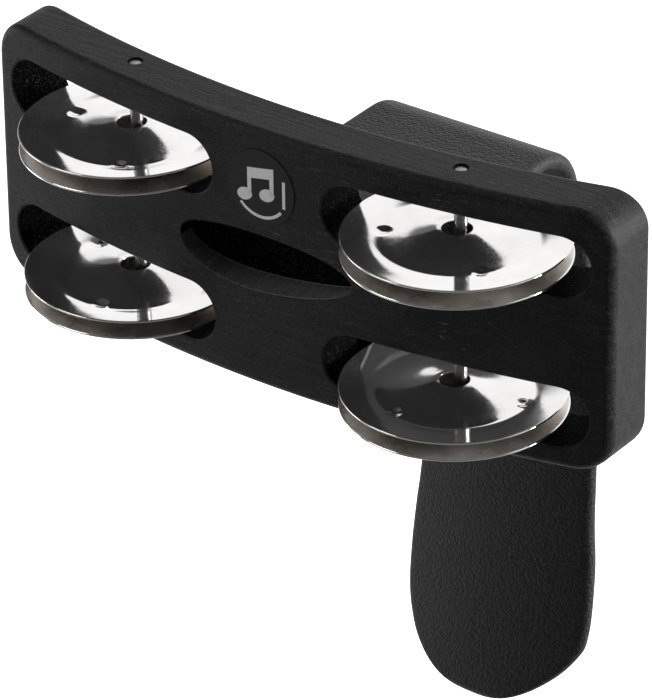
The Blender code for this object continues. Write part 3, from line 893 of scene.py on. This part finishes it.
# ------------------------------------------------------------------- screws
back = FLANGE_Y + CORE_T
number = 0
for z in SCREW_Z:
    for s in (-1, 1):
        number += 1
        rows = [(SCREW_TIP_Y, 0.15), (SCREW_TIP_Y + 0.6, 0.9)]
        y = SCREW_TIP_Y + 1.5
        while y < back - 1.0:
            rows += [(y, SCREW_SHAFT_R - 0.32), (y + 0.35, SCREW_SHAFT_R), (y + 0.7, SCREW_SHAFT_R - 0.32)]
            y += 1.0
        rows += [(back + 0.24, SCREW_SHAFT_R - 0.3), (back + 0.25, SCREW_HEAD_R - 0.25), (back + 0.4, SCREW_HEAD_R),
                 (back + 0.75, SCREW_HEAD_R)]
        for k in range(1, 7):
            a = math.pi / 2 * k / 6
            rows.append((back + 0.75 + (SCREW_HEAD_H - 0.75) * math.sin(a),
                         0.9 + (SCREW_HEAD_R - 0.9) * math.cos(a)))
        rows.append((back + SCREW_HEAD_H, 0.3))
        seg = 36
        verts = []
        for yy, r in rows:
            for j in range(seg):
                a = 2 * math.pi * j / seg
                verts.append((s * SCREW_X + r * math.cos(a), yy, z + r * math.sin(a)))
        ob = clean(raw_object("flange_screw_%d_pan_head" % number, verts, tube_faces(len(rows), seg, 0)), 1e-5)
        turn = 0.4 + 0.7 * number
        cuts = []
        for q in (0.0, math.pi / 2):
            d = Vector((math.cos(turn + q), 0, math.sin(turn + q)))
            e = Vector((-math.sin(turn + q), 0, math.cos(turn + q)))
            c = Vector((s * SCREW_X, 0, z))
            cv = []
            for yy, k in ((back + SCREW_HEAD_H - 1.1, 0.55), (back + SCREW_HEAD_H + 0.5, 1.0)):
                for m, n in ((-1, -1), (1, -1), (1, 1), (-1, 1)):
                    p = c + d * (m * 1.75 * k) + e * (n * 0.42 * (0.6 + 0.4 * k))
                    cv.append((p.x, yy, p.z))
            cuts.append(clean(raw_object("cross_cut", cv, tube_faces(2, 4, 0)), 1e-5))
        subtract(ob, cuts)
        ob.data.transform(Matrix.Scale(MM, 4) @ Matrix.Translation(-ORIGIN))
        ob.data.materials.clear()
        ob.data.materials.append(painted)
        shade(ob, 32)
        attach(ob, "instrument")
        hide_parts("flange_screw_%d" % number)


# -------------------------------------------------------------------- badge
def on_board(x, z, n):
    return (x, arc_y(x, n), z)


def plate(name, outline, n0, n1, mat):
    """Thin plate of a filled outline, bent onto the front of the board."""
    bm = bmesh.new()
    vs = [bm.verts.new((x, 0.0, z)) for x, z in outline]
    bm.faces.new(vs)
    xs = [p[0] for p in outline]
    x = math.floor(min(xs)) + 1.0
    while x < max(xs):
        bmesh.ops.bisect_plane(bm, geom=list(bm.verts) + list(bm.edges) + list(bm.faces), dist=1e-5,
                               plane_co=(x, 0, 0), plane_no=(1, 0, 0))
        x += 1.0
    ret = bmesh.ops.extrude_face_region(bm, geom=list(bm.faces))
    top = [g for g in ret["geom"] if isinstance(g, bmesh.types.BMVert)]
    topset = set(top)
    for v in bm.verts:
        n = n1 if v in topset else n0
        v.co = Vector(on_board(v.co.x, v.co.z, n))
    bmesh.ops.triangulate(bm, faces=[f for f in bm.faces if len(f.verts) > 4])
    bmesh.ops.recalc_face_normals(bm, faces=bm.faces)
    me = bpy.data.meshes.new(name)
    bm.to_mesh(me)
    bm.free()
    me.transform(Matrix.Scale(MM, 4) @ Matrix.Translation(-ORIGIN))
    me.materials.append(mat)
    ob = link(bpy.data.objects.new(name, me))
    shade(ob, 30)
    return ob


n0 = HALF_T + 0.03
circle = [(BADGE_X + BADGE_R * math.cos(2 * math.pi * j / 96), BADGE_Z + BADGE_R * math.sin(2 * math.pi * j / 96))
          for j in range(96)]
ob = plate("badge_round_plate", circle, n0, n0 + 0.14, badge_black)
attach(ob, "instrument")
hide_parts("badge_disc")

# generic mark: a pair of beamed notes with an arc and a bar
mark_n = n0 + 0.15


def ellipse(cx, cz, a, b, rot, seg=40):
    pts = []
    for j in range(seg):
        t = 2 * math.pi * j / seg
        x, z = a * math.cos(t), b * math.sin(t)
        pts.append((cx + x * math.cos(rot) - z * math.sin(rot), cz + x * math.sin(rot) + z * math.cos(rot)))
    return pts


def mark(name, outline):
    ob = plate(name, [(BADGE_X + x, BADGE_Z + z) for x, z in outline], mark_n, mark_n + 0.05, badge_white)
    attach(ob, "instrument")
    return ob


# two beamed note shapes: heads, stems and a thick beam in one outline each
def note_outline():
    pts = []
    # left stem outer edge up, over the beam, down the right stem, inner edges back
    pts += [(-3.55, -2.6), (-3.55, 4.2), (3.75, 5.6), (3.75, -1.4)]
    pts += [(2.65, -1.4), (2.65, 2.75), (-2.45, 1.75), (-2.45, -2.6)]
    return pts


mark("badge_mark_beam", note_outline())
mark("badge_mark_head_left", ellipse(-4.35, -2.75, 2.15, 1.55, 0.35))
mark("badge_mark_head_right", ellipse(1.85, -1.5, 2.15, 1.55, 0.35))
arc = []
for j in range(25):
    a = math.radians(222 + 98 * j / 24)
    arc.append((7.75 * math.cos(a), 7.75 * math.sin(a)))
for j in reversed(range(25)):
    a = math.radians(222 + 98 * j / 24)
    arc.append((7.0 * math.cos(a), 7.0 * math.sin(a)))
mark("badge_mark_arc", arc)
mark("badge_mark_bar", [(6.1, -3.6), (6.9, -3.6), (6.9, 3.2), (6.1, 3.2)])


# ---------------------------------------------------------------- the stage
def flat_material(name, rgb, rough, emit):
    mat, nt, b = new_material(name)
    n1 = noise(nt, coords(nt, (1.0, 1.0, 1.0)), 14.0, 2.0, 0.5)
    nt.links.new(ramp(nt, n1, [(0.0, (rgb * 0.99,) * 3), (1.0, (rgb,) * 3)]), b.inputs["Base Color"])
    b.inputs["Roughness"].default_value = rough
    b.inputs["Emission Color"].default_value = (1, 1, 1, 1)
    b.inputs["Emission Strength"].default_value = emit
    return mat


me = bpy.data.meshes.new("studio_floor")
S = 12.0
me.from_pydata([(-S, -S, -0.42), (S, -S, -0.42), (S, S, -0.42), (-S, S, -0.42)], [], [(0, 1, 2, 3)])
floor = link(bpy.data.objects.new("studio_floor", me))
me.materials.append(flat_material("studio_floor_white", 0.92, 0.8, 1.05))
floor.visible_glossy = False
floor.visible_diffuse = False
floor.visible_shadow = False

world = bpy.data.worlds.new("studio")
bpy.context.scene.world = world
world.use_nodes = True
wt = world.node_tree
bg = wt.nodes["Background"]
tc = node(wt, "ShaderNodeTexCoord")
sep = node(wt, "ShaderNodeSeparateXYZ")
wt.links.new(tc.outputs["Generated"], sep.inputs[0])
DX, DY, DZ = sep.outputs["X"], sep.outputs["Y"], sep.outputs["Z"]
z01 = maprange(wt, DZ, -1.0, 1.0, 0.0, 1.0)
# upper half: bright backdrop behind the object, dark ceiling and dim sides
backdrop = ramp(wt, z01, [(0.0, 1.1), (0.860, 1.12), (0.885, 0.10), (1.0, 0.08)])
dim = ramp(wt, z01, [(0.5, 0.20), (0.70, 0.13), (0.85, 0.09), (1.0, 0.07)])
left_edge = maprange(wt, math_node(wt, "ADD", DX, math_node(wt, "MULTIPLY", DY, 1.05)), -0.03, 0.04, 0.0, 1.0)
front_edge = maprange(wt, DY, -0.10, 0.12, 0.0, 1.0)
upper = mix_color(wt, math_node(wt, "MULTIPLY", left_edge, front_edge), dim, backdrop)
# lower half: pale floor, brighter to the back and to the left
lean = math_node(wt, "ADD", math_node(wt, "MULTIPLY", DX, -0.75), math_node(wt, "MULTIPLY", DY, 0.65))
lower = ramp(wt, maprange(wt, lean, -1.0, 1.0, 0.0, 1.0),
             [(0.0, 0.10), (0.25, 0.16), (0.465, 0.46), (0.675, 0.90), (0.85, 1.08)])
horizon = maprange(wt, DZ, -0.06, 0.02, 0.0, 1.0)
wt.links.new(mix_color(wt, horizon, lower, upper), bg.inputs["Color"])
bg.inputs["Strength"].default_value = 1.0


def area(name, loc, target, size, size_y, power):
    li = bpy.data.lights.new(name, "AREA")
    li.shape = "ELLIPSE"
    li.size = size
    li.size_y = size_y
    li.energy = power
    ob = link(bpy.data.objects.new(name, li))
    ob.location = loc
    d = Vector(target) - Vector(loc)
    ob.rotation_euler = d.to_track_quat("-Z", "Y").to_euler()
    return ob


area("softbox_top", (-0.57, 0.42, 0.85), (0, 0, 0), 0.30, 0.24, 0.07)
area("softbox_front_high", (-0.58, -0.53, 0.76), (0, 0, 0), 0.50, 0.45, 2.2)
area("softbox_front_left", (-1.20, -0.40, 0.10), (0, 0, 0), 0.6, 0.6, 3.0)
area("softbox_right", (1.0, 0.55, 0.10), (0, 0, -0.03), 0.5, 0.7, 22.0)

# ------------------------------------------------------------------- camera
cam_data = bpy.data.cameras.new("camera")
cam = link(bpy.data.objects.new("camera", cam_data))
r = Vector((0.8091636223253222, 0.5874895447683777, -0.010500813930733518)).normalized()
u = Vector((-0.2849559836019041, 0.4079804282267081, 0.8673823018677654))
u = (u - r * r.dot(u)).normalized()
b = r.cross(u)
cam.matrix_world = Matrix((
    (r.x, u.x, b.x, 0.6782082),
    (r.y, u.y, b.y, -0.9494456),
    (r.z, u.z, b.z, 0.6262923),
    (0, 0, 0, 1)))
cam_data.sensor_fit = "AUTO"
cam_data.sensor_width = 36.0
cam_data.lens = 5741.51443676707 / 700.0 * 36.0
cam_data.clip_start = 0.05
cam_data.clip_end = 60.0
bpy.context.scene.camera = cam
bpy.context.scene.view_settings.view_transform = "Standard"
bpy.context.scene.view_settings.look = "None"

bpy.context.view_layer.update()
